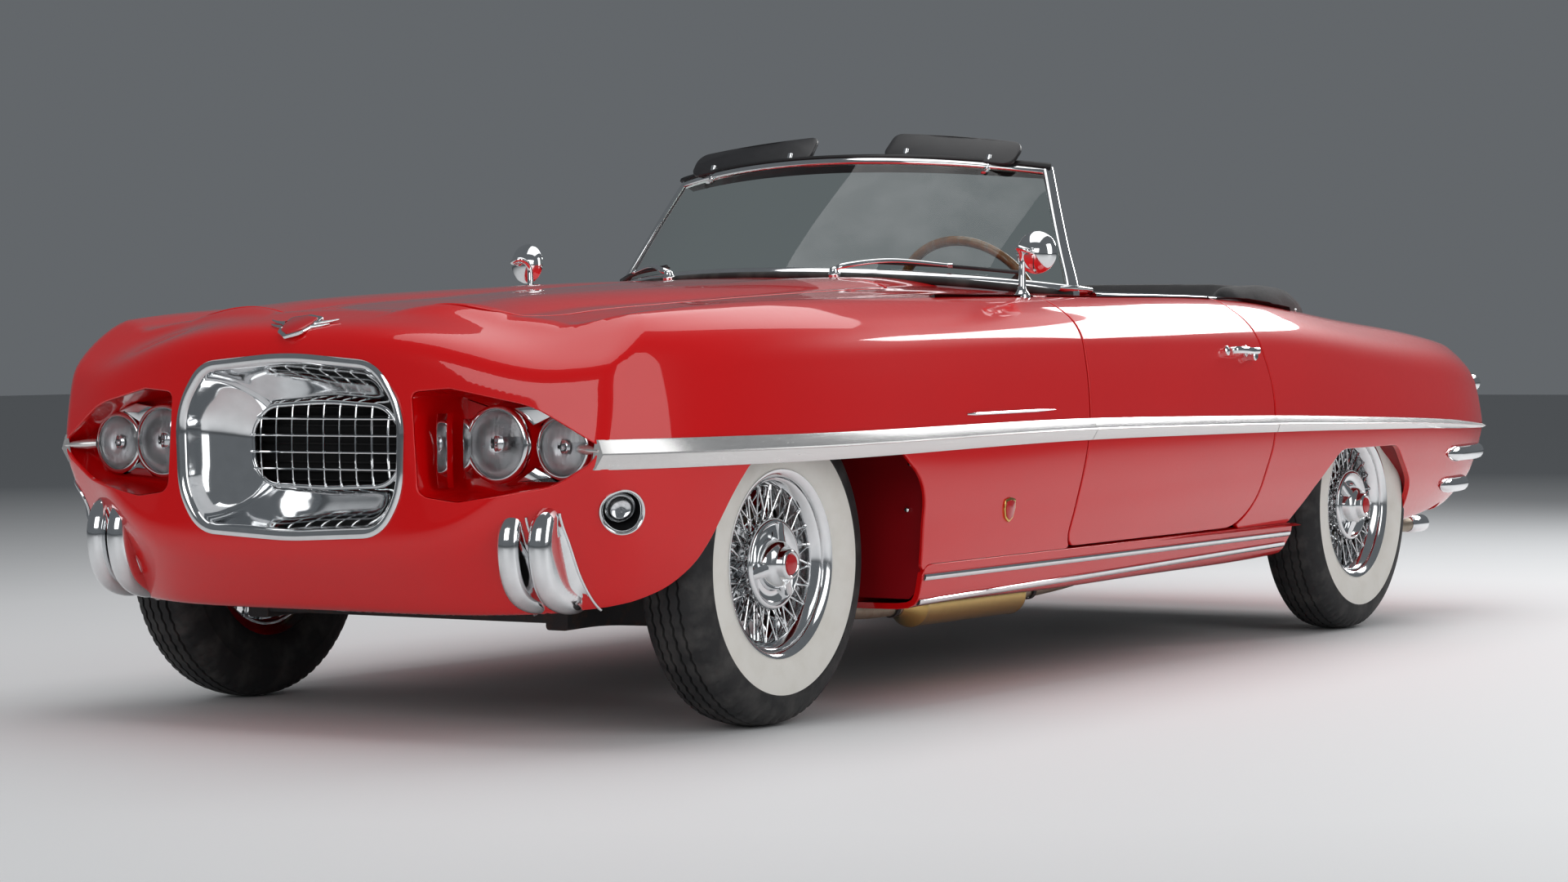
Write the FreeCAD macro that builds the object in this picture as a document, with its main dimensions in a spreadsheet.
"""Open two-door touring convertible of the 1950s, built as an assembly of separate pieces.

Millimetres. +X is the car's left side, -Y its front and +Z up. The origin lies on the ground under
the middle of the body. The form tables are drawn at the reference sizes in DRAWN and are stretched
by the sheet: along() for places behind the front axle, out() for widths and up() for heights.
"""
import FreeCAD, Part
import math
import os
import re

import Sketcher
from FreeCAD import Placement, Rotation, Vector

os.makedirs("parts", exist_ok=True)
doc = FreeCAD.newDocument("convertible")

# ---------------------------------------------------------------- driving dimensions
SIZES = (
    # alias, value, meaning
    ("wheelbase", 3023, "front axle to rear axle"),
    ("front_overhang", 700, "front axle to the grille's lip"),
    ("rear_overhang", 1022, "rear axle to the tail"),
    ("body_width", 1808, "over the widest line of the body, without the trim"),
    ("body_height", 650, "axle height to the base of the windscreen glass"),
    ("skin", 14, "wall of the outer body panels with their inner flanges"),
    ("panel_gap", 6, "shut line between two body panels"),
    ("door_wall", 140, "whole thickness of a door or of a cabin side"),
    ("door_front", 1215, "front shut line of the door, behind the front axle"),
    ("door_rear", 2258, "rear shut line of the door, behind the front axle"),
    ("door_bottom", 331, "lower shut line of the door"),
    ("hood_half_width", 500, "half the width of the hood"),
    ("hood_front", -505, "front shut line of the hood, behind the front axle"),
    ("hood_rear", 1045, "rear shut line of the hood, behind the front axle"),
    ("trunk_half_width", 500, "half the width of the trunk lid"),
    ("trunk_front", 3330, "front shut line of the trunk lid"),
    ("trunk_rear", 3905, "rear shut line of the trunk lid"),
    ("cabin_front", 1330, "front edge of the cabin's opening at the middle"),
    ("cabin_rear", 3180, "rear edge of the cabin's opening"),
    ("cabin_half_width", 716, "half the width of the cabin's opening"),
    ("track", 1440, "between the middles of two tyres"),
    ("tyre_radius", 353, "rolling radius"),
    ("tyre_width", 170, "over the sidewalls"),
    ("rim_radius", 206, "outer radius of the rim's flange"),
    ("rim_width", 134, "over the rim's flanges"),
    ("hub_radius", 62, "wheel hub shell"),
    ("hub_length", 120, "wheel hub shell"),
    ("spoke_count", 24, "spokes in each of the two rows of a wheel"),
    ("spoke_size", 5, "spoke thickness"),
    ("drum_radius", 140, "brake drum"),
    ("drum_width", 58, "brake drum"),
    ("spindle_radius", 20, "stub axle in the wheel's hub"),
    ("bearing_clearance", 0.1, "radial play of a stub axle"),
    ("seat_clearance", 0.3, "play where one piece stands on another"),
    ("kingpin_x", 655, "kingpin from the middle plane"),
    ("kingpin_radius", 18, "kingpin post"),
    ("kingpin_height", 210, "kingpin post"),
    ("frame_half_width", 420, "middle of a chassis rail from the middle plane"),
    ("rail_width", 64, "chassis rail"),
    ("rail_height", 96, "chassis rail"),
    ("rail_bottom", 188, "underside of the chassis rails above the ground"),
    ("floor_thickness", 12, "floor pan"),
    ("tunnel_half_width", 135, "transmission tunnel"),
    ("tunnel_top", 455, "transmission tunnel"),
    ("engine_length", 760, "engine block"),
    ("engine_width", 560, "engine block"),
    ("engine_height", 470, "engine block"),
    ("ledge", 18, "overlap of a lid on the ledge under its edge"),
    ("lamp_radius", 78, "inner headlamp"),
    ("strip_stand", 17, "how far the side strip stands out of the body"),
    ("steering_wheel_radius", 205, "middle of the steering wheel's rim"),
    ("steering_rim_radius", 12, "half the thickness of the steering wheel's rim"),
    ("column_tilt", 24, "steering column above level, degrees"),
    ("glass_thickness", 6, "windscreen"),
    ("frame_tube_radius", 13, "windscreen frame"),
)
# the reference sizes at which the form tables are drawn
DRAWN = {"wheelbase": 3023, "front_overhang": 700, "rear_overhang": 1022,
         "body_width": 1808, "body_height": 650, "tyre_radius": 353}

sheet = doc.addObject("Spreadsheet::Sheet", "dims")
for row, (alias, value, meaning) in enumerate(SIZES, start=1):
    sheet.set(f"A{row}", alias)
    sheet.set(f"B{row}", str(value))
    sheet.set(f"C{row}", meaning)
    sheet.setAlias(f"B{row}", alias)
doc.recompute()
ALIASES = [alias for alias, value, meaning in SIZES]
FLOOR_BOTTOM = "(rail_bottom + rail_height + seat_clearance)"


def resolve(formula):
    """Turn the sheet's aliases in a formula into references that FreeCAD understands."""
    return re.sub(r"[a-z_]{3,}", lambda word: f"dims.{word[0]}" if word[0] in ALIASES else word[0],
                  str(formula))


def size(formula):
    """The number that a formula of the sheet's aliases gives now."""
    return float(sheet.evalExpression(resolve(formula)))


def bind(target, formulas):
    """Tie properties of an object to formulas of the sheet's aliases."""
    for name, formula in formulas.items():
        target.setExpression(name, resolve(formula))


# ---------------------------------------------------------------- places on the car, as formulas
FRONT_AXLE = "(front_overhang - wheelbase - rear_overhang) / 2"


def along_f(drawn):
    """Formula for the place that lies so far behind the front axle."""
    if drawn < 0:
        return f"({FRONT_AXLE} + {drawn} * front_overhang / {DRAWN['front_overhang']})"
    if drawn <= DRAWN["wheelbase"]:
        return f"({FRONT_AXLE} + {drawn} * wheelbase / {DRAWN['wheelbase']})"
    beyond = drawn - DRAWN["wheelbase"]
    return f"({FRONT_AXLE} + wheelbase + {beyond} * rear_overhang / {DRAWN['rear_overhang']})"


def out_f(drawn):
    """Formula for a distance from the middle plane."""
    return f"({drawn} * body_width / {DRAWN['body_width']})"


def up_f(drawn):
    """Formula for a height above the ground."""
    axle = DRAWN["tyre_radius"]
    return f"(tyre_radius + ({drawn} - {axle}) * body_height / {DRAWN['body_height']})"


def along(drawn):
    """Y of the place that lies so far behind the front axle."""
    return size(along_f(drawn))


def out(drawn):
    """X of a distance from the middle plane."""
    return size(out_f(drawn))


def up(drawn):
    """Z of a height above the ground."""
    return size(up_f(drawn))


# ---------------------------------------------------------------- small builders
def box(name, lengths, corner):
    """Part::Box from three size formulas and the formulas of its low corner."""
    block = doc.addObject("Part::Box", name)
    bind(block, dict(zip(("Length", "Width", "Height"), lengths)))
    bind(block, dict(zip(("Placement.Base.x", "Placement.Base.y", "Placement.Base.z"), corner)))
    return block


AXIS_TURN = {"X": Rotation(Vector(0, 1, 0), 90), "Y": Rotation(Vector(1, 0, 0), -90), "Z": Rotation()}


def rod(name, radius, length, start, axis):
    """Part::Cylinder from its start along +X, +Y or +Z."""
    cylinder = doc.addObject("Part::Cylinder", name)
    cylinder.Placement = Placement(Vector(), AXIS_TURN[axis])
    bind(cylinder, {"Radius": radius, "Height": length})
    bind(cylinder, dict(zip(("Placement.Base.x", "Placement.Base.y", "Placement.Base.z"), start)))
    return cylinder


def fuse(name, pieces):
    """Part::MultiFuse of the pieces."""
    whole = doc.addObject("Part::MultiFuse", name)
    whole.Shapes = pieces
    return whole


def cut(name, base, tool):
    """Part::Cut of two objects."""
    rest = doc.addObject("Part::Cut", name)
    rest.Base = base
    rest.Tool = tool
    return rest


def group(name, pieces):
    """Part::Compound of pieces that stay apart."""
    whole = doc.addObject("Part::Compound", name)
    whole.Links = pieces
    return whole


def mirrored(name, source):
    """The same piece on the other side of the middle plane."""
    twin = doc.addObject("Part::Mirroring", name)
    twin.Source = source
    twin.Normal = (1, 0, 0)
    return twin


def shaped(name, shape):
    """A freely formed piece, made by the Part functions below."""
    piece = doc.addObject("Part::Feature", name)
    piece.Shape = shape
    return piece


def sketch(body, name, plane, outline):
    """Closed outline of (u formula, v formula, bulge) points in a fully constrained sketch.

    bulge is 0 for a straight run to the next point, or how far the arc to the next point stands
    out to the right of the run, in millimetres.
    """
    drawing = body.newObject("Sketcher::SketchObject", name)
    origin_plane = [item for item in body.Origin.OriginFeatures if item.Role == plane][0]
    drawing.AttachmentSupport = (origin_plane, "")
    drawing.MapMode = "FlatFace"
    corners = [Vector(size(u), size(v), 0) for u, v, bulge in outline]
    count = len(corners)
    for index, (u, v, bulge) in enumerate(outline):
        first, last = corners[index], corners[(index + 1) % count]
        if bulge:
            run = last - first
            side = Vector(run.y, -run.x, 0).normalize()
            middle = (first + last) * 0.5 + side * size(bulge)
            drawing.addGeometry(Part.Arc(first, middle, last))
        else:
            drawing.addGeometry(Part.LineSegment(first, last))

    def end_of(edge, corner):
        return min((1, 2), key=lambda pos: drawing.getPoint(edge, pos).distanceToPoint(corner))

    for index, (u, v, bulge) in enumerate(outline):
        follower = (index + 1) % count
        corner = corners[follower]
        pair = (index, end_of(index, corner), follower, end_of(follower, corner))
        drawing.addConstraint(Sketcher.Constraint("Coincident", *pair))
        start = end_of(index, corners[index])
        for kind, formula, value in (("DistanceX", u, corners[index].x), ("DistanceY", v, corners[index].y)):
            number = drawing.addConstraint(Sketcher.Constraint(kind, -1, 1, index, start, value))
            drawing.setExpression(f"Constraints[{number}]", resolve(formula))
        if bulge:
            drawing.addConstraint(Sketcher.Constraint("Radius", index, drawing.Geometry[index].Radius))
    return drawing


def turned(name, outline):
    """PartDesign body turned about the X axis: outline of (x, radius, bulge)."""
    body = doc.addObject("PartDesign::Body", name)
    drawing = sketch(body, name + "_profile", "XY_Plane", outline)
    turn = body.newObject("PartDesign::Revolution", name + "_turn")
    turn.Profile = drawing
    turn.ReferenceAxis = (drawing, ["H_Axis"])
    turn.Angle = 360
    return body


def pressed(name, outline, width, start):
    """PartDesign body: a side view in (y, z), padded to a width along +X from a start."""
    body = doc.addObject("PartDesign::Body", name)
    drawing = sketch(body, name + "_profile", "YZ_Plane", outline)
    pad = body.newObject("PartDesign::Pad", name + "_pad")
    pad.Profile = drawing
    bind(pad, {"Length": width})
    bind(body, {"Placement.Base.x": start})
    return body


# ---------------------------------------------------------------- free forms
def rounded(corners, radii):
    """Closed wire of straight runs and tangent arcs: the corners of a polygon, each rounded."""
    count = len(corners)
    arcs = []
    for index, corner in enumerate(corners):
        before, after = corners[index - 1] - corner, corners[(index + 1) % count] - corner
        half_turn = (math.pi - before.getAngle(after)) / 2
        reach = min(radii[index] * math.tan(half_turn), 0.46 * before.Length, 0.46 * after.Length)
        radius = reach / math.tan(half_turn)
        first = corner + before.normalize() * reach
        last = corner + after.normalize() * reach
        inward = (before + after).normalize()
        middle = corner + inward * (radius / math.cos(half_turn) - radius)
        arcs.append((first, middle, last))
    edges = []
    for index, (first, middle, last) in enumerate(arcs):
        edges.append(Part.Arc(first, middle, last).toShape())
        edges.append(Part.makeLine(last, arcs[(index + 1) % count][0]))
    return Part.Wire(edges)


def route(points, bend):
    """Open wire of straight runs joined by tangent arcs of one bend radius."""
    edges, start = [], points[0]
    for before, corner, after in zip(points, points[1:], points[2:]):
        back, onward = before - corner, after - corner
        half_turn = (math.pi - back.getAngle(onward)) / 2
        reach = min(bend * math.tan(half_turn), 0.46 * back.Length, 0.46 * onward.Length)
        radius = reach / math.tan(half_turn)
        first = corner + back.normalize() * reach
        last = corner + onward.normalize() * reach
        inward = (back + onward).normalize()
        middle = corner + inward * (radius / math.cos(half_turn) - radius)
        edges += [Part.makeLine(start, first), Part.Arc(first, middle, last).toShape()]
        start = last
    edges.append(Part.makeLine(start, points[-1]))
    return Part.Wire(edges)


def bent_rod(points, bend, radius):
    """Round rod along a route."""
    ring = Part.Wire(Part.makeCircle(radius, points[0], points[1] - points[0]))
    return route(points, bend).makePipeShell([ring], True, False)


def inset(corners, radii, depth):
    """The same polygon moved inwards, with its roundings kept concentric."""
    count = len(corners)
    moved, new_radii = [], []
    for index, corner in enumerate(corners):
        before, after = corners[index - 1], corners[(index + 1) % count]
        into, away = (corner - before).normalize(), (after - corner).normalize()
        normal_in, normal_out = Vector(-into.y, into.x, 0), Vector(-away.y, away.x, 0)
        bend = normal_in + normal_out
        moved.append(corner + bend * (2 * depth / bend.dot(bend)))
        hollow = into.x * away.y - into.y * away.x < 0
        new_radii.append(radii[index] + depth if hollow else max(radii[index] - depth, 6))
    return moved, new_radii


# Outer body, cross sections from the nose to the tail: station behind the front axle, height of the
# middle line, hood's edge and valley, then x and z of the crest, shoulder, ridge, lower side and bottom.
HOOD_EDGE_X, VALLEY_X = 500, 615
BODY_SECTIONS = (
    # station, middle, edge, valley, crest x z, shoulder x z, ridge x z, lower x z, bottom x z
    (-720, 908, 884, 860, 640, 880, 682, 780, 690, 606, 656, 430, 560, 236),
    (-600, 911, 886, 864, 662, 892, 728, 804, 742, 606, 704, 430, 616, 240),
    (-450, 918, 890, 868, 696, 908, 796, 826, 822, 607, 788, 420, 728, 243),
    (-300, 932, 903, 882, 724, 920, 842, 840, 868, 608, 842, 420, 788, 240),
    (-117, 944, 914, 898, 746, 929, 870, 848, 894, 608, 870, 420, 828, 235),
    (420, 977, 941, 928, 764, 934, 880, 856, 904, 611, 890, 420, 864, 224),
    (1100, 1004, 963, 946, 766, 938, 880, 866, 904, 616, 889, 420, 848, 227),
    (1700, 1000, 962, 950, 766, 940, 878, 866, 902, 611, 886, 420, 824, 230),
    (2400, 975, 948, 936, 760, 932, 868, 852, 893, 601, 874, 416, 797, 234),
    (3000, 930, 905, 894, 742, 884, 852, 806, 880, 588, 858, 408, 790, 262),
    (3500, 888, 866, 858, 716, 852, 824, 768, 850, 575, 825, 402, 760, 292),
    (3850, 852, 828, 820, 690, 822, 784, 738, 808, 562, 780, 402, 720, 330),
    (4070, 822, 796, 788, 660, 796, 740, 700, 756, 555, 722, 410, 664, 380),
)
BODY_RADII = {"middle": 3200, "edge": 900, "valley": 260, "crest": 130, "shoulder": 140,
              "ridge": 60, "lower": 400, "bottom": 40}


def body_section(row, depth=0):
    """Wire of one cross section, moved inwards by a depth."""
    station, middle, edge, valley = row[:4]
    half = [(0, middle, "middle"), (HOOD_EDGE_X, edge, "edge"), (VALLEY_X, valley, "valley")]
    names = ("crest", "shoulder", "ridge", "lower", "bottom")
    half += [(row[4 + 2 * i], row[5 + 2 * i], name) for i, name in enumerate(names)]
    left = [(Vector(out(x), up(z), 0), BODY_RADII[name]) for x, z, name in half]
    right = [(Vector(-corner.x, corner.y, 0), radius) for corner, radius in reversed(left[1:])]
    ring = list(reversed(left + right))
    corners, radii = [item[0] for item in ring], [item[1] for item in ring]
    if depth:
        corners, radii = inset(corners, radii, depth)
    level = [Vector(corner.x, along(station), corner.y) for corner in corners]
    return rounded(level, radii)


def body_form(depth=0):
    """The closed body between its first and last cross section."""
    return Part.makeLoft([body_section(row, depth) for row in BODY_SECTIONS], True, False)


# Nose, side views from the middle plane outwards: station and height of each corner, bottom to top.
NOSE_SECTIONS = (
    # x, foot, underside, chin, brow, hood roll, top
    (0, (-390, 140), (-600, 262), (-697, 400), (-697, 872), (-560, 899), (-330, 1040)),
    (300, (-390, 140), (-598, 264), (-697, 405), (-694, 858), (-558, 888), (-330, 1040)),
    (460, (-390, 140), (-580, 272), (-684, 450), (-668, 820), (-540, 862), (-320, 1030)),
    (620, (-380, 140), (-520, 290), (-642, 560), (-626, 772), (-520, 850), (-300, 1010)),
    (742, (-360, 140), (-450, 300), (-602, 600), (-572, 782), (-452, 880), (-250, 990)),
    (960, (-300, 140), (-360, 300), (-500, 600), (-480, 782), (-380, 890), (-180, 990)),
)
NOSE_RADII = (40, 160, 90, 75, 120, 40)

# Tail, side views from the middle plane outwards, bottom to top.
TAIL_SECTIONS = (
    # x, foot, underside, valance, tip, deck roll, deck, top
    (0, (3560, 140), (3790, 300), (3990, 430), (4045, 560), (4012, 720), (3900, 880), (3700, 1000)),
    (500, (3560, 140), (3786, 300), (3986, 430), (4042, 558), (4006, 712), (3896, 860), (3700, 1000)),
    (800, (3530, 140), (3740, 300), (3930, 430), (4022, 555), (3978, 690), (3880, 820), (3680, 1000)),
    (960, (3500, 140), (3700, 300), (3880, 430), (3990, 555), (3950, 690), (3860, 820), (3660, 1000)),
)
TAIL_RADII = (40, 120, 80, 40, 70, 110, 40)
FORM_DEPTH = 6500


def end_form(rows, radii, toward):
    """Solid behind a curved end face: side views lofted from one side of the car to the other."""
    wires = []
    half = [row for row in rows]
    for row in [(-row[0],) + row[1:] for row in reversed(half[1:])] + half:
        face = [Vector(along(station), up(z), 0) for station, z in row[1:]]
        far = toward * FORM_DEPTH
        back = [Vector(face[-1].x + far, face[-1].y, 0), Vector(face[0].x + far, face[0].y, 0)]
        bends = list(radii) + [40, 40]
        wire = rounded(face + back, bends)
        wire.transformShape(FreeCAD.Matrix(0, 0, 1, out(row[0]), 1, 0, 0, 0, 0, 1, 0, 0, 0, 0, 0, 1))
        wires.append(wire)
    return Part.makeLoft(wires, True, False)


def side_prism(outline, radii, low_x, high_x):
    """Side view outline of drawn (station, height) corners, extruded along X."""
    wire = rounded([Vector(along(station), up(z), 0) for station, z in outline], radii)
    wire.transformShape(FreeCAD.Matrix(0, 0, 1, low_x, 1, 0, 0, 0, 0, 1, 0, 0, 0, 0, 0, 1))
    return Part.Face(wire).extrude(Vector(high_x - low_x, 0, 0))


def both_sides(shape):
    """The shape and its mirror image."""
    return [shape, shape.mirror(Vector(), Vector(1, 0, 0))]


def top_prism(outline, radii, low_z, high_z):
    """Top view outline of drawn (x, station) corners on the left side, closed by its mirror image."""
    left = [Vector(x, y, 0) for x, y in outline]
    right = [Vector(-corner.x, corner.y, 0) for corner in reversed(left)]
    wire = rounded(left + right, list(radii) + list(reversed(radii)))
    wire.translate(Vector(0, 0, low_z))
    return Part.Face(wire).extrude(Vector(0, 0, high_z - low_z))


# ---------------------------------------------------------------- outer body
def closed_body(depth=0):
    """The body as one closed form, moved inwards by a depth."""
    nose = end_form(NOSE_SECTIONS, NOSE_RADII, 1)
    tail = end_form(TAIL_SECTIONS, TAIL_RADII, -1)
    nose.translate(Vector(0, depth, 0))
    tail.translate(Vector(0, -depth, 0))
    closed = body_form(depth).common(nose).common(tail)
    if closed.Volume < size("wheelbase * body_width * 300"):
        raise RuntimeError("the body's end forms didn't meet its sides")
    return closed


GAP = size("panel_gap") / 2
SKIN = size("skin")
WALL = size("door_wall")
BIG = 3000

outer = closed_body()
inner = closed_body(SKIN)

# Shut lines and openings, as side views of (station, height) or top views of (x, station).
DOOR_FRONT, DOOR_REAR, DOOR_BOTTOM = size("door_front"), size("door_rear"), size("door_bottom")


def door_outline(gap):
    """Side view of a door, moved inwards by a gap."""
    corners = [(DOOR_REAR - 100, DOOR_BOTTOM), (DOOR_REAR + 4, 560), (DOOR_REAR, 700), (DOOR_REAR - 80, 905),
               (DOOR_REAR - 105, 1100), (DOOR_FRONT, 1100), (DOOR_FRONT - 12, 616),
               (DOOR_FRONT - 90, DOOR_BOTTOM)]
    moved, radii = inset([Vector(*corner) for corner in corners], [260, 150, 300, 60, 20, 20, 300, 34], gap)
    return [(corner.x, corner.y) for corner in moved], radii


def hood_outline(gap):
    """Top view of the hood, moved inwards by a gap: left half, front to rear."""
    half = out(size("hood_half_width"))
    front, rear = along(size("hood_front")), along(size("hood_rear"))
    return [(half - gap, front + gap), (half - gap, rear - gap - 60)], [150, 90]


def trunk_outline(gap):
    """Top view of the trunk lid, moved inwards by a gap."""
    half = out(size("trunk_half_width"))
    front, rear = along(size("trunk_front")), along(size("trunk_rear"))
    return [(half - gap, front + gap), (half - gap - 30, rear - gap)], [120, 120]


def cabin_outline(grow):
    """Top view of the cabin's opening, grown outwards."""
    half = out(size("cabin_half_width"))
    front, rear = size("cabin_front"), size("cabin_rear")
    corners = [(out(300), along(front) - grow), (half - 20 + grow, along(front + 200)),
               (half + grow, along(front + 420)),
               (half - 20 + grow, along(rear - 420)), (half - 150 + grow, along(rear - 90)),
               (out(240), along(rear) + grow)]
    return corners, [300, 120, 600, 600, 260, 300]


FRONT_ARCH = ((-540, 60), (-438, 320), (-372, 470), (-262, 588), (318, 588), (432, 510), (448, 60))
FRONT_ARCH_RADII = (10, 260, 200, 110, 70, 120, 10)
REAR_ARCH = ((2380, 60), (2442, 321), (2560, 420), (2720, 522), (3130, 522), (3290, 410), (3336, 290),
             (3336, 60))
REAR_ARCH_RADII = (10, 80, 160, 120, 90, 120, 80, 10)
# room over a front tyre at full steer, inside the fender's skin
STEER_ROOM = ((-205, 540), (-205, 604), (-95, 604), (-95, 540))
STEER_ROOM_X = 886
SILL_TOP = DOOR_BOTTOM - GAP
SILL_X = 746
SILL = ((DOOR_FRONT - 768, 60), (DOOR_FRONT - 768, SILL_TOP), (2508, SILL_TOP), (2462, 60))
ARCH_INNER_X = 570

shell = outer.cut(inner)
# open underside between the wheels, the nose's pan and the tail's valance stay
PAN_REAR, VALANCE_FRONT = -378, 3690
underside = [Part.makeBox(2 * out(760), along(VALANCE_FRONT) - along(PAN_REAR), up(345) + 10,
                          Vector(-out(760), along(PAN_REAR), -10))]
WELL_PLAY = 32
for side in (1, -1):
    start = Vector(side * out(600), along(DRAWN["wheelbase"]), size("tyre_radius"))
    reach = size("track / 2 + tyre_width / 2") + 19 - out(600)
    underside.append(Part.makeCylinder(size("tyre_radius") + WELL_PLAY, reach, start, Vector(side, 0, 0)))
arches = []
for low_x, high_x in ((out(ARCH_INNER_X), BIG), (-BIG, -out(ARCH_INNER_X))):
    arches.append(side_prism(FRONT_ARCH, FRONT_ARCH_RADII, low_x, high_x))
    arches.append(side_prism(REAR_ARCH, REAR_ARCH_RADII, low_x, high_x))
for low_x, high_x in ((out(ARCH_INNER_X), out(STEER_ROOM_X)), (-out(STEER_ROOM_X), -out(ARCH_INNER_X))):
    arches.append(side_prism(STEER_ROOM, (4, 4, 4, 4), low_x, high_x))
cabin_hole = top_prism(*cabin_outline(0), 0, BIG)
shell = shell.cut(arches + underside)


def ring(outline, outside, inside, low):
    """Frame between two moved copies of a top view outline."""
    return top_prism(*outline(outside), low, BIG).cut(top_prism(*outline(inside), low, BIG))


LEDGE_WALL, RIM_OVERLAP = 5.5, 3
LEDGE = size("ledge")
play = size("seat_clearance")
below_ledge = closed_body(SKIN + LEDGE_WALL)
under_lid = closed_body(SKIN + play)
under_rim = closed_body(SKIN - RIM_OVERLAP)


def lid_ledge(outline, low):
    """Ledge under a lid's edge, joined to the panel round it."""
    shelf = ring(outline, -GAP - 2, GAP + LEDGE, low).common(under_lid)
    rim = ring(outline, -GAP - 14, -GAP, low).common(under_rim)
    return shelf.fuse(rim).cut(below_ledge)


def cabin_side(low, high, top):
    """Closed wall between two stations: the body's side as thick as a door, below a height."""
    slab = outer.common(Part.makeBox(4 * BIG, along(high) - along(low), top, Vector(-2 * BIG, along(low), 0)))
    middle = out(905) - WALL
    return slab.cut(Part.makeBox(2 * middle, BIG, BIG, Vector(-middle, along(low) - 10, -10)))


PILLAR_X, PILLAR_END = 742, 1556


def door_prism(side, gap):
    """Space of a door: outside the windscreen's foot in front, up to the cabin's edge behind."""
    ends = sorted((side * (out(PILLAR_X) + gap), side * BIG))
    front = side_prism(*door_outline(gap), *ends)
    ends = sorted((side * out(600), side * BIG))
    back = side_prism(*door_outline(gap), *ends)
    behind = Part.makeBox(4 * BIG, BIG, 2 * BIG, Vector(-2 * BIG, along(PILLAR_END) + gap, -BIG))
    return front.fuse(back.common(behind))


door_space = door_prism(1, GAP)
door_holes = [door_prism(side, -GAP) for side in (1, -1)]
CORE_GAP = GAP + 14
door_core = side_prism(*door_outline(CORE_GAP), out(905) - WALL, out(905) - SKIN)

hood_prism = top_prism(*hood_outline(GAP), 0, BIG)
hood_hole = top_prism(*hood_outline(-GAP), 0, BIG)
trunk_prism = top_prism(*trunk_outline(GAP), up(640), BIG)
trunk_hole = top_prism(*trunk_outline(-GAP), up(640), BIG)
upper = Part.makeBox(4 * BIG, 4 * BIG, BIG, Vector(-2 * BIG, -2 * BIG, up(700)))
sill_prisms = [side_prism(SILL, [5, 30, 30, 5], low, high) for low,
               high in ((out(640), BIG), (-BIG, -out(640)))]

SPLIT = (DOOR_FRONT + DOOR_REAR) / 2
front_zone = Part.makeBox(4 * BIG, BIG + along(SPLIT), 2 * BIG, Vector(-2 * BIG, -BIG, -BIG))
rear_zone = Part.makeBox(4 * BIG, BIG, 2 * BIG, Vector(-2 * BIG, along(SPLIT), -BIG))

hood = shaped("hood", shell.common(hood_prism).common(upper))
trunk_lid = shaped("trunk_lid", shell.common(trunk_prism))
body_panels = shell.cut([hood_hole.common(upper), trunk_hole, cabin_hole] + door_holes + sill_prisms)
hood_ledge = lid_ledge(hood_outline, up(700)).cut(cabin_hole)
trunk_ledge = lid_ledge(trunk_outline, up(640)).cut(cabin_hole)

# closed walls beside the seats, behind the doors
side_walls = cabin_side(DOOR_REAR - 140, 2640, up(900)).cut(door_holes + underside + arches + sill_prisms)

# recesses in the nose: grille mouth, lamp coves and fog lamp pockets
GRILLE = ((0, 816), (240, 796), (312, 700), (306, 520), (250, 436), (0, 424))
GRILLE_RADII = (900, 90, 260, 260, 90, 900)


def front_prism(outline, radii, low_y, high_y, x_shift=0):
    """Front view outline of drawn (x, height) corners on the left side, mirrored, extruded along Y."""
    left = [Vector(out(x), up(z), 0) for x, z in outline]
    right = [Vector(-corner.x, corner.y, 0) for corner in reversed(left) if corner.x > 0]
    bends = list(radii) + [radii[i] for i in reversed(range(len(left))) if left[i].x > 0]
    wire = rounded(left + right, bends)
    wire.transformShape(FreeCAD.Matrix(1, 0, 0, 0, 0, 0, 1, low_y, 0, 1, 0, 0, 0, 0, 0, 1))
    return Part.Face(wire).extrude(Vector(0, high_y - low_y, 0))


def grille_outline(grow):
    """Grille mouth, grown outwards by so much."""
    middle = 620
    return [(x + grow * (x > 0), z + (grow if z > middle else -grow)) for x, z in GRILLE]


mouth = front_prism(grille_outline(size("seat_clearance")), GRILLE_RADII, -BIG, along(-480))
COVE = ((330, 735), (420, 742), (600, 706), (742, 622), (722, 590), (640, 540), (440, 508), (345, 520))
COVE_RADII = (16, 30, 200, 10, 40, 150, 60, 30)


def one_side_prism(outline, radii, low_y, high_y):
    """Front view outline on the left side alone, extruded along Y."""
    wire = rounded([Vector(out(x), up(z), 0) for x, z in outline], radii)
    wire.transformShape(FreeCAD.Matrix(1, 0, 0, 0, 0, 0, 1, low_y, 0, 1, 0, 0, 0, 0, 0, 1))
    return Part.Face(wire).extrude(Vector(0, high_y - low_y, 0))


COVE_BED, COVE_WALL = -528, 10
FOG_X, FOG_Z, FOG_BED, FOG_RADIUS = 755, 485, -440, 49
COVE_MIDDLE = (520, 620)


def grown_cove(grow):
    """Cove outline moved outwards from its middle."""
    return [(x + grow * (1 if x > COVE_MIDDLE[0] else -1),
             z + grow * (1 if z > COVE_MIDDLE[1] else -1)) for x, z in COVE]


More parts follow.
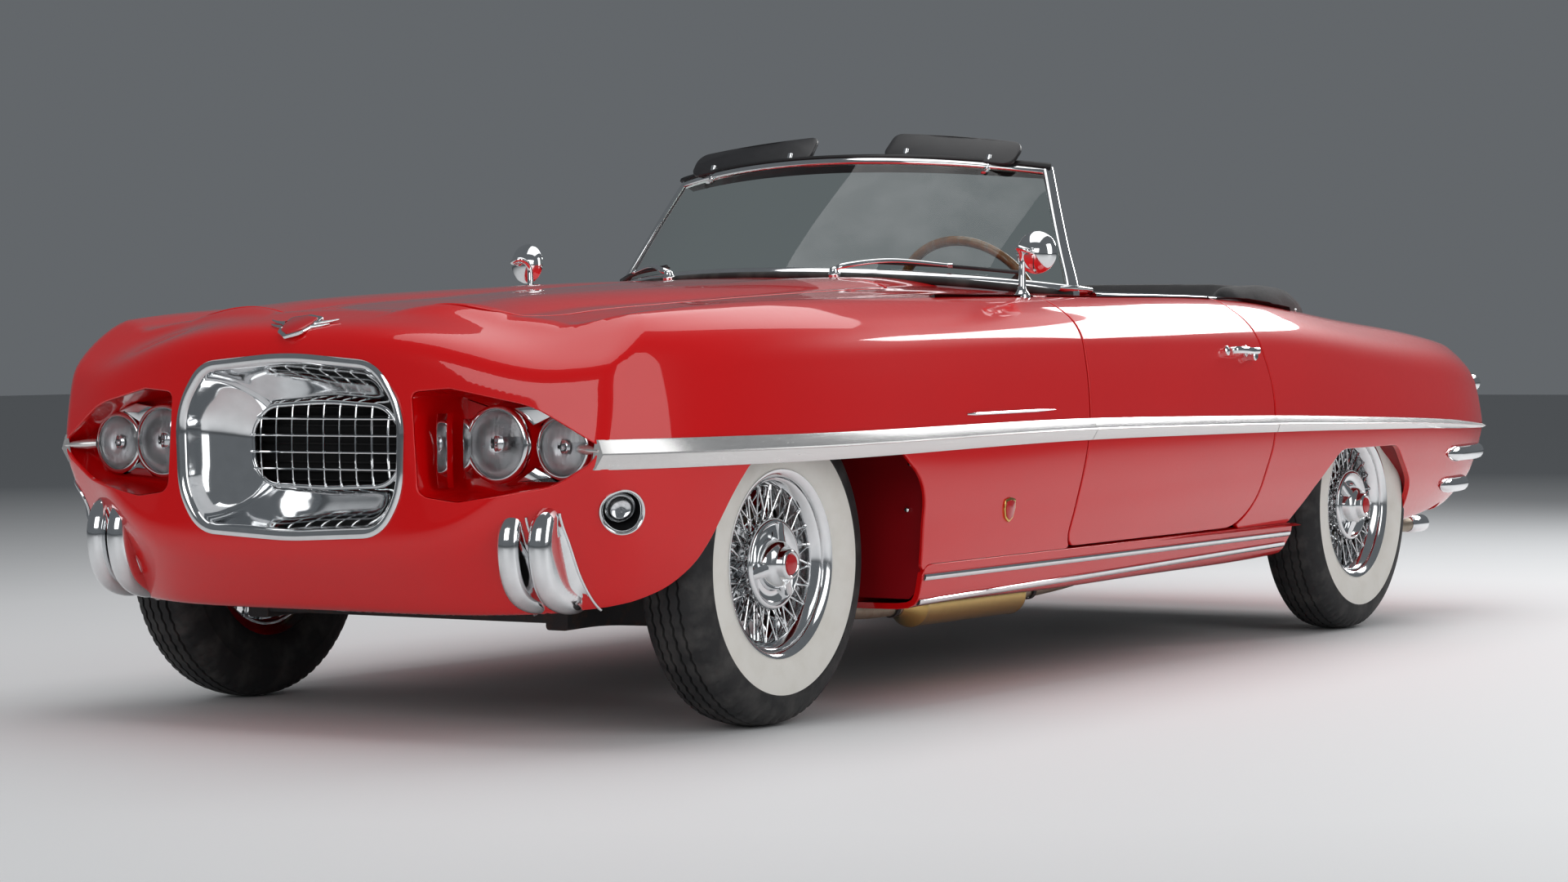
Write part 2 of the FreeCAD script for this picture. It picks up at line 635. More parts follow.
FOOTWELL_FRONT = 720
cove = one_side_prism(COVE, COVE_RADII, -BIG, along(COVE_BED))
cove_pocket = one_side_prism(grown_cove(COVE_WALL), COVE_RADII, -BIG,
                             along(COVE_BED) + COVE_WALL).common(outer).cut(cove)
fog_spot = Vector(out(FOG_X), along(FOG_BED), up(FOG_Z))
fog_hole = Part.makeCylinder(FOG_RADIUS, BIG, fog_spot, Vector(0, -1, 0))
fog_pocket = Part.makeCylinder(FOG_RADIUS + 6, BIG, fog_spot + Vector(0, 6, 0),
                               Vector(0, -1, 0)).common(outer).cut(fog_hole)
nose_cuts = [mouth] + both_sides(cove) + both_sides(fog_hole)
front_part = body_panels.common(front_zone).cut(nose_cuts).cut(arches)


def block_between(low, high, side=1):
    """Box between two (x, y, z) corners given for the left side, or its mirror image."""
    first, last = Vector(*low), Vector(*high)
    block = Part.makeBox(last.x - first.x, last.y - first.y, last.z - first.z, first)
    return block if side > 0 else block.mirror(Vector(), Vector(1, 0, 0))


# closed posts beside the footwells, which carry the door hinges
front_posts = cabin_side(FOOTWELL_FRONT, DOOR_FRONT + 60, up(900)).cut(door_holes + sill_prisms)

# wheel wells: plates before and behind each front wheel, and a liner beside the engine
WELL_PLATE = 10
LINER_X = size("frame_half_width + rail_width / 2") - 12
well_pieces = []
for side in (1, -1):
    for station, foot in ((FOG_BED + 8, 300), (452, 290)):
        plate = block_between((LINER_X, along(station), up(foot)), (BIG, along(station) + WELL_PLATE,
                                                                    up(900)), side)
        well_pieces.append(plate)
    liner = block_between((LINER_X, along(FOG_BED + 8), up(470)), (LINER_X + 8, along(452) + WELL_PLATE,
                                                                   up(900)), side)
    well_pieces.append(liner)
wells = Part.makeCompound(well_pieces).common(outer)
wells = wells.cut([hood_hole.common(upper)] + sill_prisms + both_sides(fog_hole) + both_sides(cove))

# door hinges: a leaf on the post under a leaf on the door, in the wide gap inside the shut line
LEAF_X, LEAF_THICK, LEAF_HEIGHTS = (out(905) - 100, out(905) - 47), 14, (440, 780)


def hinge_leaf(side, height, low_gap, high_gap, lift):
    """Horizontal hinge leaf between two distances behind the door's front shut line at its top."""
    line = DOOR_FRONT - 12 - 78 * max(616 - height - lift - LEAF_THICK, 0) / 285
    corner = (LEAF_X[0], along(line) + low_gap, up(height) + lift)
    return block_between(corner, (LEAF_X[1], along(line) + high_gap, corner[2] + LEAF_THICK), side)


post_leaves = [hinge_leaf(side, height, -20, CORE_GAP - 9, 0) for side in (1, -1) for height in LEAF_HEIGHTS]
NOSE_SEAM = FOG_BED + 4


def zone(low_x, high_x, low, high):
    """All of the car between two widths and two stations."""
    return Part.makeBox(high_x - low_x, along(high) - along(low), BIG, Vector(low_x, along(low), -10))


SEAM_X = LINER_X - 1
SMALLEST_SOLID = 1000
# the pan under the nose belongs to the nose panel
pan_space = Part.makeBox(2 * BIG, along(PAN_REAR + 8) - along(-900), up(300) + 10,
                         Vector(-BIG, along(-900), -10))


def panel(name, skin, extras, space):
    """Body panel: the skin and what belongs to it within a space."""
    inside = [piece.common(space) for piece in extras]
    whole = skin.common(space).fuse([piece for piece in inside if piece.Solids])
    return shaped(name, Part.makeCompound([solid for solid in whole.Solids if solid.Volume > SMALLEST_SOLID]))


front_extras = [hood_ledge, front_posts, wells] + both_sides(cove_pocket) + both_sides(fog_pocket)
front_extras += post_leaves
nose_space = zone(-BIG, BIG, -900, NOSE_SEAM).fuse(pan_space)
cowl_space = zone(-SEAM_X, SEAM_X, NOSE_SEAM, 2500).cut(pan_space)
fender_space = zone(SEAM_X, BIG, NOSE_SEAM, 2500).cut(pan_space)
nose_panel = panel("nose_panel", front_part, front_extras, nose_space)
cowl_panel = panel("cowl_panel", front_part, front_extras, cowl_space)
fender_left = panel("fender_left", front_part, front_extras, fender_space)
fender_right = shaped("fender_right", both_sides(fender_left.Shape)[1])
rear_part = body_panels.common(rear_zone)
rear_extras = [side_walls, trunk_ledge]
tail_panel = panel("tail_panel", rear_part, rear_extras, zone(-SEAM_X, SEAM_X, 1500, 4500))
quarter_left = panel("quarter_left", rear_part, rear_extras, zone(SEAM_X, BIG, 1500, 4500))
quarter_right = shaped("quarter_right", both_sides(quarter_left.Shape)[1])

# ---------------------------------------------------------------- doors and sills
leaf = shell.common(door_space).cut(cabin_hole)
below_window = Part.makeBox(4 * BIG, 4 * BIG, up(905), Vector(-2 * BIG, -2 * BIG, 0))
core = door_core.common(below_window).common(inner)
leaves = [hinge_leaf(1, height, 4, CORE_GAP + 20, LEAF_THICK + play) for height in LEAF_HEIGHTS]
left_door = leaf.fuse([core] + leaves).removeSplitter()
door_side = {side: shaped(f"door_{side}", piece) for side, piece in zip(("left", "right"),
                                                                        both_sides(left_door))}
sill_block = outer.common(Part.makeBox(4 * BIG, along(2520) - along(440), up(SILL_TOP),
                                       Vector(-2 * BIG, along(440), 0)))
sill_space = Part.makeBox(2 * out(SILL_X), BIG * 2, BIG, Vector(-out(SILL_X), -BIG, -100))
sill_pieces = [sill_block.common(prism).cut(sill_space) for prism in sill_prisms]
sills = shaped("sills", Part.makeCompound(sill_pieces))


# ---------------------------------------------------------------- floor, firewall and dashboard
floor_front, floor_rear = 696.3, 2400
floor_plate = box("floor_plate", (out_f(1460), f"{along_f(floor_rear)} - {along_f(floor_front)}",
                                  "floor_thickness"),
                  (f"-{out_f(730)}", along_f(floor_front), FLOOR_BOTTOM))
tunnel_outer = box("tunnel_outer", ("2 * tunnel_half_width",
                                    f"{along_f(floor_rear)} - {along_f(floor_front)}",
                                    f"tunnel_top - {FLOOR_BOTTOM}"),
                   ("-tunnel_half_width", along_f(floor_front), FLOOR_BOTTOM))
tunnel_space = box("tunnel_space", ("2 * (tunnel_half_width - floor_thickness)",
                                    f"{along_f(floor_rear)} - {along_f(floor_front)} + 20",
                                    f"tunnel_top - {FLOOR_BOTTOM}"),
                   ("floor_thickness - tunnel_half_width", f"{along_f(floor_front)} - 10",
                    f"{FLOOR_BOTTOM} - floor_thickness"))
REAR_FLOOR, REAR_FLOOR_END, REAR_FLOOR_HALF = 424, 2860, 590
riser = box("floor_riser", (out_f(2 * REAR_FLOOR_HALF), "floor_thickness",
                            f"{up_f(REAR_FLOOR)} - {FLOOR_BOTTOM}"),
            (f"-{out_f(REAR_FLOOR_HALF)}", f"{along_f(floor_rear)} - floor_thickness", FLOOR_BOTTOM))
rear_plate = box("floor_rear", (out_f(2 * REAR_FLOOR_HALF),
                                f"{along_f(REAR_FLOOR_END)} - {along_f(floor_rear)} + floor_thickness",
                                "floor_thickness"),
                 (f"-{out_f(REAR_FLOOR_HALF)}", f"{along_f(floor_rear)} - floor_thickness", up_f(REAR_FLOOR)))
floor_pan = cut("floor_pan", fuse("floor_sheet", [floor_plate, riser, rear_plate, tunnel_outer]),
                tunnel_space)

TANK_HEIGHT = 210
TRUNK_FLOOR = f"(rail_bottom + rail_height + {TANK_HEIGHT} + 2 * seat_clearance)"
TRUNK_END, TRUNK_HALF = 3860, 560
trunk_plate = box("trunk_plate", (out_f(2 * TRUNK_HALF),
                                  f"{along_f(TRUNK_END)} - {along_f(REAR_FLOOR_END)}", "floor_thickness"),
                  (f"-{out_f(TRUNK_HALF)}", along_f(REAR_FLOOR_END), TRUNK_FLOOR))
bulkhead = box("bulkhead", (out_f(2 * TRUNK_HALF), "floor_thickness",
                            f"{up_f(800)} - {up_f(REAR_FLOOR)} - floor_thickness"),
               (f"-{out_f(TRUNK_HALF)}", f"{along_f(REAR_FLOOR_END)} - floor_thickness - 20",
                f"{up_f(REAR_FLOOR)} + floor_thickness + seat_clearance"))
bulkhead_foot = box("bulkhead_foot", (out_f(2 * TRUNK_HALF), "floor_thickness + 30", "floor_thickness"),
                    (f"-{out_f(TRUNK_HALF)}", f"{along_f(REAR_FLOOR_END)} - floor_thickness - 20",
                     TRUNK_FLOOR))
trunk_floor = fuse("trunk_floor", [trunk_plate, bulkhead, bulkhead_foot])

FIREWALL_FRONT, FIREWALL_WALL = 676, 20
firewall_sheet = box("firewall_sheet", (f"2 * ({out_f(SILL_X)} - seat_clearance)", str(FIREWALL_WALL),
                                        f"{up_f(900)} - {FLOOR_BOTTOM}"),
                     (f"seat_clearance - {out_f(SILL_X)}", along_f(FIREWALL_FRONT), FLOOR_BOTTOM))
firewall_notch = box("firewall_notch", ("2 * (tunnel_half_width - floor_thickness)", str(FIREWALL_WALL + 2),
                                        f"tunnel_top - {FLOOR_BOTTOM}"),
                     ("floor_thickness - tunnel_half_width", f"{along_f(FIREWALL_FRONT)} - 1",
                      f"{FLOOR_BOTTOM} - floor_thickness"))

dashboard_block = pressed("dashboard_block", [
    (along_f(1265), up_f(905), 0), (along_f(1250), up_f(800), 0), (along_f(1330), up_f(760), 0),
    (along_f(1405), up_f(770), 30), (along_f(1400), up_f(915), 10)], out_f(1380), f"-{out_f(690)}")

# ---------------------------------------------------------------- seats
def seat(name, start_x, width, front, back, lean, base, top):
    """Cushion and backrest in one side view, padded across."""
    return pressed(name, [
        (along_f(front), base, 0), (along_f(back - 20), base, 0), (along_f(back + lean), top, -30),
        (along_f(back + lean - 110), top, 20), (along_f(back - 130), f"{base} + 185", 0),
        (along_f(front), f"{base} + 165", 40)], width, start_x)


SEAT_BASE = f"{FLOOR_BOTTOM} + floor_thickness + seat_clearance"
left_seat = seat("seat_left", "150", "500", 1640, 2190, 120, SEAT_BASE, up_f(905))
right_seat = seat("seat_right", "-650", "500", 1640, 2190, 120, SEAT_BASE, up_f(905))
front_seats = group("front_seats", [left_seat, right_seat])
bench_left = seat("bench_left", "60", "480", 2420, 2740, 80,
                  f"{up_f(REAR_FLOOR)} + floor_thickness + seat_clearance", up_f(885))
bench_right = mirrored("bench_right", bench_left)
rear_seat = group("rear_seat", [bench_left, bench_right])

# ---------------------------------------------------------------- chassis
RAIL_FRONT, RAIL_REAR = -322, 3670


def rail(name, side):
    """Straight box rail of the ladder frame."""
    return box(name, ("rail_width", f"{along_f(RAIL_REAR)} - {along_f(RAIL_FRONT)}", "rail_height"),
               (f"{side} * frame_half_width - rail_width / 2", along_f(RAIL_FRONT), "rail_bottom"))


CROSS_TOP = "(rail_bottom + 60)"
cross_places = (RAIL_FRONT, 640, 1500, 2420, 3560)
crosses = [box(f"cross_{place}".replace("-", "front_"), ("2 * frame_half_width", "70", "52"),
               ("-frame_half_width", along_f(place), "rail_bottom + 8")) for place in cross_places]
OUTRIGGER = "(frame_half_width + rail_width / 2)"
outriggers = [box(f"outrigger_{place}_{side}".replace("-", "right_"),
                  ("104", "60", "tyre_radius - 71.3 - rail_bottom - 12"),
                  (OUTRIGGER if side > 0 else f"-{OUTRIGGER} - 104", along_f(place), "rail_bottom + 12"))
              for place in (2440, 3500) for side in (1, -1)]
chassis_frame = fuse("chassis_frame", [rail("rail_left", 1), rail("rail_right", -1)] + crosses + outriggers)

# ---------------------------------------------------------------- engine, gearbox and exhaust
ENGINE_FRONT = -236
engine = box("engine", ("engine_width", "engine_length", "engine_height"),
             ("-engine_width / 2", along_f(ENGINE_FRONT), "rail_bottom + rail_height + 60.6"))
gearbox_case = rod("gearbox_case", "88", "560", ("0", f"{along_f(ENGINE_FRONT)} + engine_length + 0.3",
                                                 up_f(350)), "Y")
gearbox_foot = box("gearbox_foot", ("90", "60", f"{up_f(350)} - {CROSS_TOP} - 0.3 - 40"),
                   ("-45", f"{along_f(640)} + 5", f"{CROSS_TOP} + 0.3"))
propeller_shaft = rod("propeller_shaft", "38",
                      f"{along_f(2880)} - {along_f(ENGINE_FRONT)} - engine_length - 500",
                      ("0", f"{along_f(ENGINE_FRONT)} + engine_length + 500", up_f(350)), "Y")
gearbox_and_shaft = fuse("gearbox_and_shaft", [gearbox_case, gearbox_foot, propeller_shaft])

# exhaust: out of the engine's side, over the rail, down and back to the tail
EXHAUST_X, EXHAUST_Z, HEADER_Z = 594, 256, 430
ENGINE_SIDE = size("engine_width / 2 + seat_clearance")
exhaust_route = [Vector(ENGINE_SIDE, along(512), HEADER_Z), Vector(EXHAUST_X, along(520), HEADER_Z),
                 Vector(EXHAUST_X, along(570), EXHAUST_Z), Vector(EXHAUST_X, along(3930), EXHAUST_Z)]
pipe = shaped("exhaust_pipe", bent_rod(exhaust_route, 60, 22))
muffler = rod("muffler", "54", "600", (EXHAUST_X - 30, along_f(850), EXHAUST_Z - 58), "Y")
hanger = box("muffler_hanger", ("30", "40", "40"), (EXHAUST_X - 15, along_f(1100), f"{FLOOR_BOTTOM} - 40.3"))
exhaust_system = fuse("exhaust_system", [pipe, muffler, hanger])

radiator = box("radiator", (out_f(600), "60", f"{up_f(800)} - {CROSS_TOP}"),
               (f"-{out_f(300)}", along_f(RAIL_FRONT), f"{CROSS_TOP} + seat_clearance"))
fuel_tank = box("fuel_tank", ("2 * frame_half_width + 20", "400", str(TANK_HEIGHT)),
                ("-frame_half_width - 10", along_f(3250), "rail_bottom + rail_height + seat_clearance"))

# ---------------------------------------------------------------- axles and knuckles
AXLE_Z = "tyre_radius"
front_beam = box("front_beam", ("2 * (frame_half_width + rail_width / 2) + 120", "110", "60"),
                 ("-(frame_half_width + rail_width / 2 + 60)", f"{along_f(0)} - 55",
                  "rail_bottom + rail_height + 0.3"))


ARM_INNER = "(frame_half_width + rail_width / 2 + 60)"


def wishbone(name, side, height):
    """Suspension arm from the beam's tower to the kingpin."""
    reach = f"kingpin_x - kingpin_radius - seat_clearance - {ARM_INNER}"
    start = ARM_INNER if side > 0 else "-(kingpin_x - kingpin_radius - seat_clearance)"
    return box(name, (reach, "60", "22"),
               (start, f"{along_f(0)} - 30", f"rail_bottom + rail_height + {height}"))


towers = [box(f"tower_{side}".replace("-", "right_"), ("60", "90", "170"),
              ("frame_half_width + rail_width / 2" if side > 0 else f"-{ARM_INNER}", f"{along_f(0)} - 45",
               "rail_bottom + rail_height + 0.3")) for side in (1, -1)]
arms = [wishbone(f"arm_{height}_{side}".replace("-", "right_"), side,
                 height) for side in (1, -1) for height in (4, 140)]
front_suspension = fuse("front_suspension", [front_beam] + towers + arms)

axle_tube = rod("axle_tube", "38", "track - tyre_width - 40", ("-(track - tyre_width - 40) / 2",
                                                               along_f(3023), AXLE_Z), "X")
differential = rod("differential", "135", "190", ("-95", along_f(3023), AXLE_Z), "X")
axle_stubs = rod("axle_stubs", "spindle_radius", "track - 20", ("-(track - 20) / 2", along_f(3023), AXLE_Z),
                 "X")
springs = [box(f"spring_{tag}", ("55", f"{along_f(3560)} - {along_f(2440)}", "34"),
               (f"{start}", along_f(2440), "tyre_radius - 38 - 33")) for tag,
           start in (("left", 497), ("right", -552))]
rear_axle = fuse("rear_axle", [axle_tube, differential, axle_stubs] + springs)

post = rod("knuckle_post", "kingpin_radius", "kingpin_height",
           ("kingpin_x", along_f(0), "tyre_radius - kingpin_height / 2"), "Z")
spindle = rod("knuckle_spindle", "spindle_radius", "track / 2 - 10 - kingpin_x",
              ("kingpin_x", along_f(0), AXLE_Z), "X")
knuckle_left = fuse("knuckle_left", [post, spindle])
knuckle_right = mirrored("knuckle_right", knuckle_left)

# ---------------------------------------------------------------- wheels
BEAD = "(rim_radius - 9 + seat_clearance)"
BEAD_X = "(rim_width / 2 - 8 - seat_clearance)"
tyre = turned("tyre", [
    (f"-{BEAD_X}", BEAD, 0), (BEAD_X, BEAD, 0), (BEAD_X, "rim_radius + seat_clearance",
                                                 "tyre_width / 2 - rim_width / 2 + 6"),
    ("tyre_width / 2 - 26", "tyre_radius - 12", 0), ("tyre_width / 2 - 52", "tyre_radius", 0),
    ("52 - tyre_width / 2", "tyre_radius", 0),
    ("26 - tyre_width / 2", "tyre_radius - 12", "tyre_width / 2 - rim_width / 2 + 6"),
    (f"-{BEAD_X}", "rim_radius + seat_clearance", 0)])
WHEEL_PLACES = {"front_left": (1, 0), "front_right": (-1, 0), "rear_left": (1, 3023),
                "rear_right": (-1, 3023)}

rim = turned("rim", [
    ("-rim_width / 2", "rim_radius", 0), ("-rim_width / 2", "rim_radius - 14", 0),
    ("22 - rim_width / 2", "rim_radius - 30", 0), ("rim_width / 2 - 30", "rim_radius - 30", 0),
    ("rim_width / 2", "rim_radius - 14", 0), ("rim_width / 2", "rim_radius", 0),
    ("rim_width / 2 - 4", "rim_radius", 0), ("rim_width / 2 - 8", "rim_radius - 9", 0),
    ("8 - rim_width / 2", "rim_radius - 9", 0), ("4 - rim_width / 2", "rim_radius", 0)])
BORE = "spindle_radius + bearing_clearance"
DRUM_INNER_X = "-(track / 2 - kingpin_x - kingpin_radius - 5)"
hub = turned("hub", [
    (DRUM_INNER_X, BORE, 0), ("-8", BORE, 0), ("-8", "2", 0), ("rim_width / 2 - 6", "2", 0),
    ("rim_width / 2 - 6", "24", 0), ("rim_width / 2 - 22", "34", 0),
                     ("rim_width / 2 - 26", "hub_radius + 32", 4),
    ("rim_width / 2 - 36", "hub_radius + 32", 0), ("rim_width / 2 - 36", "hub_radius", 0),
    (f"{DRUM_INNER_X} + drum_width", "hub_radius", 0), (f"{DRUM_INNER_X} + drum_width", "drum_radius", 0),
    (DRUM_INNER_X, "drum_radius", 0)])


def spoke_row(outer_x, inner_x, turn):
    """One row of crossing spokes from the hub shell to the rim, as square bars."""
    count = int(size("spoke_count"))
    thick = size("spoke_size")
    hub_r, rim_r = size("hub_radius") - 6, size("rim_radius") - 29
    bars = []
    for index in range(count):
        angle = 2 * math.pi * index / count
        lead = math.radians(turn if index % 2 else -turn)
        start = Vector(inner_x, hub_r * math.cos(angle + lead), hub_r * math.sin(angle + lead))
        end = Vector(outer_x, rim_r * math.cos(angle), rim_r * math.sin(angle))
        run = end - start
        bar = Part.makeBox(thick, thick, run.Length, Vector(-thick / 2, -thick / 2, 0))
        bar.Placement = Placement(start, Rotation(Vector(0, 0, 1), run)).multiply(bar.Placement)
        bars.append(bar)
    return bars


doc.recompute()
half_rim, half_hub = size("rim_width") / 2, size("hub_length") / 2
spokes = spoke_row(half_rim - 36, half_rim - 50, 42) + spoke_row(-half_rim + 34, -half_rim + 52, -42)
wheel_shape = rim.Shape.fuse(hub.Shape).fuse(spokes)

wheel_nodes, tyre_nodes = {}, {}
for place, (side, station) in WHEEL_PLACES.items():
    spot = Vector(side * size("track") / 2, along(station), size("tyre_radius"))
    turn = Rotation() if side > 0 else Rotation(Vector(0, 0, 1), 180)
    wheel = shaped(f"wheel_{place}", wheel_shape)
    wheel.Placement = Placement(spot, turn)
    tyre_copy = shaped(f"tyre_{place}", tyre.Shape)
    tyre_copy.Placement = Placement(spot, turn)
    wheel_nodes[place], tyre_nodes[place] = wheel, tyre_copy

# ---------------------------------------------------------------- steering wheel and column
WHEEL_HEART = (350, 1590, 902)
tilt = size("column_tilt")
heart = Vector(out(WHEEL_HEART[0]), along(WHEEL_HEART[1]), up(WHEEL_HEART[2]))
column_way = Vector(0, math.cos(math.radians(tilt)), math.sin(math.radians(tilt)))
column_turn = Rotation(Vector(0, 0, 1), column_way)
rim_ring = doc.addObject("Part::Torus", "steering_rim")
bind(rim_ring, {"Radius1": "steering_wheel_radius", "Radius2": "steering_rim_radius"})
steering_hub = rod("steering_hub", "38", "46", ("0", "0", "-40"), "Z")
arms = []
for index in range(3):
    arm = box(f"steering_arm_{index}", ("steering_wheel_radius", "22", "6"), ("0", "-11", "-10"))
    holder = group(f"steering_spoke_{index}", [arm])
    holder.Placement = Placement(Vector(), Rotation(Vector(0, 0, 1), 90 + 120 * index))
    arms.append(holder)
steering_wheel = fuse("steering_wheel", [rim_ring, steering_hub] + arms)
steering_wheel.Placement = Placement(heart, column_turn)

COLUMN_RADIUS, COLUMN_LENGTH, COLUMN_START = 22, 960, -40.3


def column_rod(name, radius):
    """The steering column, or the hole for it."""
    piece = shaped(name, Part.makeCylinder(radius, COLUMN_LENGTH, Vector(0, 0, COLUMN_START - COLUMN_LENGTH)))
    piece.Placement = Placement(heart, column_turn)
    return piece


steering_column = column_rod("steering_column", COLUMN_RADIUS)
column_hole = column_rod("column_hole", COLUMN_RADIUS + size("seat_clearance"))
dashboard = cut("dashboard", dashboard_block, column_hole)
firewall = cut("firewall", firewall_sheet,
               fuse("firewall_holes", [firewall_notch, column_rod("firewall_hole", COLUMN_RADIUS + 0.3)]))

# ---------------------------------------------------------------- windscreen
BASE_SIDE, BASE_MIDDLE = (700, 1490, 956), (0, 1095, 1008)
TOP_SIDE, TOP_MIDDLE = (563, 1618, 1262), (0, 1475, 1300)


def spot(place, side=1):
    """Point from a drawn (x, station, height), on the left side or on its mirror image."""
    return Vector(side * out(place[0]), along(place[1]), up(place[2]))


def bow(side_place, middle_place):
    """Arc across the car through a side place and its mirror image."""
    return Part.Arc(spot(side_place, -1), spot(middle_place), spot(side_place)).toShape()


def tube(edge, radius):
    """Round tube along one edge, with its ends left flat."""
    start = edge.valueAt(edge.FirstParameter)
    way = edge.tangentAt(edge.FirstParameter)
    ring = Part.Wire(Part.makeCircle(radius, start, way))
    return Part.Wire(edge).makePipeShell([ring], True, False)


base_bow, top_bow = bow(BASE_SIDE, BASE_MIDDLE), bow(TOP_SIDE, TOP_MIDDLE)
tube_radius = size("frame_tube_radius")
pillars = [Part.makeLine(spot(BASE_SIDE, side), spot(TOP_SIDE, side)) for side in (1, -1)]
frame_parts = [tube(edge, tube_radius) for edge in [base_bow, top_bow] + pillars]
corners = [spot(place, side) for place in (BASE_SIDE, TOP_SIDE) for side in (1, -1)]
frame_parts += [Part.makeSphere(tube_radius + 1.5, corner) for corner in corners]
frame_shape = frame_parts[0].fuse(frame_parts[1:])
windshield_frame = shaped("windshield_frame", frame_shape.cut(outer))

pane = Part.makeRuledSurface(base_bow, top_bow)
pane.translate(Vector(0, -size("glass_thickness") / 2, 0))
glass_block = pane.extrude(Vector(0, size("glass_thickness"), 0))
windshield_glass = shaped("windshield_glass", glass_block.cut([windshield_frame.Shape, outer]))


def pane_point(across, rise, ahead):
    """Point before the windscreen: across from -1 to 1, rise from 0 at its foot to 1 at its header."""
    share = (1 + across) / 2
    low, high = [edge.valueAt(edge.FirstParameter * (1 - share) + edge.LastParameter * share)
                 for edge in (base_bow, top_bow)]
    return low + (high - low) * rise - Vector(0, ahead, 0)


WIPER_PIVOT, BLADE_ENDS, BLADE_RISE, BLADE_AHEAD = (250, 1085, 1001), (0.40, 0.86), 0.1, 18


def wiper():
    """Arm and blade on a pivot in the cowl, swept outwards to the foot of the glass."""
    inner_end, outer_end = [pane_point(across, BLADE_RISE, BLADE_AHEAD) for across in BLADE_ENDS]
    heart_of_blade = pane_point(sum(BLADE_ENDS) / 2, BLADE_RISE, BLADE_AHEAD)
    blade = bent_rod([inner_end, heart_of_blade, outer_end], 400, 3.5)
    pivot = spot(WIPER_PIVOT)
    boss = Part.makeCylinder(12, 34, pivot - Vector(0, 0, 20))
    arm = bent_rod([pivot + Vector(0, 0, 8), pivot + Vector(30, 10, 16), heart_of_blade + Vector(0, -3, 2)],
                   20, 3.5)
    return boss.fuse([blade, arm]).cut(outer)


wipers = shaped("wipers", Part.makeCompound([s for piece in both_sides(wiper()) for s in piece.Solids]))

# ---------------------------------------------------------------- bright trim
def strip_section(row):
    """Three-sided section of the side strip on the body's ridge."""
    station, ridge_x, ridge_z = row[0], row[8], row[9]
    tall = 31 if station < 1000 else 31 - 22 * (station - 1000) / 3000
    stand = size("strip_stand")
    corners = [Vector(out(ridge_x) - 14, along(station), up(ridge_z) - tall),
               Vector(out(ridge_x) + stand, along(station), up(ridge_z)),
               Vector(out(ridge_x) - 14, along(station), up(ridge_z) + tall)]
    return Part.makePolygon(corners + corners[:1])


strip_form = Part.makeLoft([strip_section(row) for row in BODY_SECTIONS[1:]], True, True).cut(outer)
SCRAP = 400
ROCKER_STAND = 6
END = Part.makeBox(4 * BIG, along(4030) - along(-585), 2 * BIG, Vector(-2 * BIG, along(-585), -BIG))
strip_form = strip_form.common(END)
side_strips = shaped("side_strips", Part.makeCompound(
    [s for piece in both_sides(strip_form.cut(door_holes[0])) for s in piece.Solids if s.Volume > SCRAP]))


def band(low, high, outside, inside):
    """Moulding on the cabin's edge between two stations, as a low bead that follows the body."""
    edge = top_prism(*cabin_outline(outside), up(700), BIG).cut(top_prism(*cabin_outline(inside), up(700),
                                                                          BIG))
    span = Part.makeBox(BIG, along(high) - along(low), BIG, Vector(out(560), along(low), 0))
    return body_form(-BELT_STAND).common(edge).common(span).cut(outer)


BELT_STAND, BELT_FRONT, BELT_END = 9, 1500, 2480
belt = band(BELT_FRONT, BELT_END, 24, 1)
belt_door = belt.common(door_space)
belt_rest = belt.cut(door_holes[0])
rockers = [side_prism(outline, (4, 4, 4, 4), out(700), BIG) for outline in (
    ((455, 293), (455, 306), (2486, 306), (2486, 293)), ((455, 236), (455, 249), (2478, 278), (2478, 265)))]
rocker_form = body_form(-ROCKER_STAND).common(Part.makeCompound(rockers)).cut(outer)
mouldings = [s for form in (rocker_form, belt_rest) for piece in both_sides(form) for s in piece.Solids]
body_mouldings = shaped("body_mouldings", Part.makeCompound([s for s in mouldings if s.Volume > SCRAP]))


def door_handle():
    """Pull handle with a push button, on the left door."""
    grip = bent_rod([spot(place) for place in HANDLE_PATH], 14, 7)
    button = Part.makeCylinder(11, 34, spot((872, 2128, 798)), Vector(1, 0, 0))
    return grip.fuse(button).cut(outer)


HANDLE_PATH = ((872, 1996, 800), (911, 1996, 800), (911, 2110, 798), (872, 2112, 798))
bright = [strip_form.common(door_space), belt_door, door_handle()]
door_strips = {}
for side, pieces in zip(("left", "right"), zip(*[both_sides(piece) for piece in bright])):
    solids = [s for piece in pieces for s in piece.Solids if s.Volume > SCRAP]
    door_strips[side] = shaped(f"door_trim_{side}", Part.makeCompound(solids))

# grille: lip and funnel, and the wire grid behind
GRID_Y = -563
GRID = ((0, 712), (150, 706), (200, 650), (194, 560), (150, 516), (0, 510))


def front_wire(outline, radii, y):
    """Closed front view outline at a place along the car: the left half and its mirror image."""
    left = [Vector(out(x), up(z), 0) for x, z in outline]
    right = [Vector(-corner.x, corner.y, 0) for corner in reversed(left) if corner.x > 0]
    bends = list(radii) + [radii[i] for i in reversed(range(len(left))) if left[i].x > 0]
    wire = rounded(left + right, bends)
    wire.transformShape(FreeCAD.Matrix(1, 0, 0, 0, 0, 0, 1, y, 0, 1, 0, 0, 0, 0, 0, 1))
    return wire


GRID_RADII, GRID_WALL = (400, 55, 200, 200, 55, 400), 10
LIP_FRONT, LIP_BACK, LIP_WIDTH, FUNNEL_BACK = -700, -662, 20, -560


def grown_grid(grow):
    """Outline of the inner grid, grown outwards."""
    return [(x + grow * (x > 0), z + (grow if z > 620 else -grow)) for x, z in GRID]


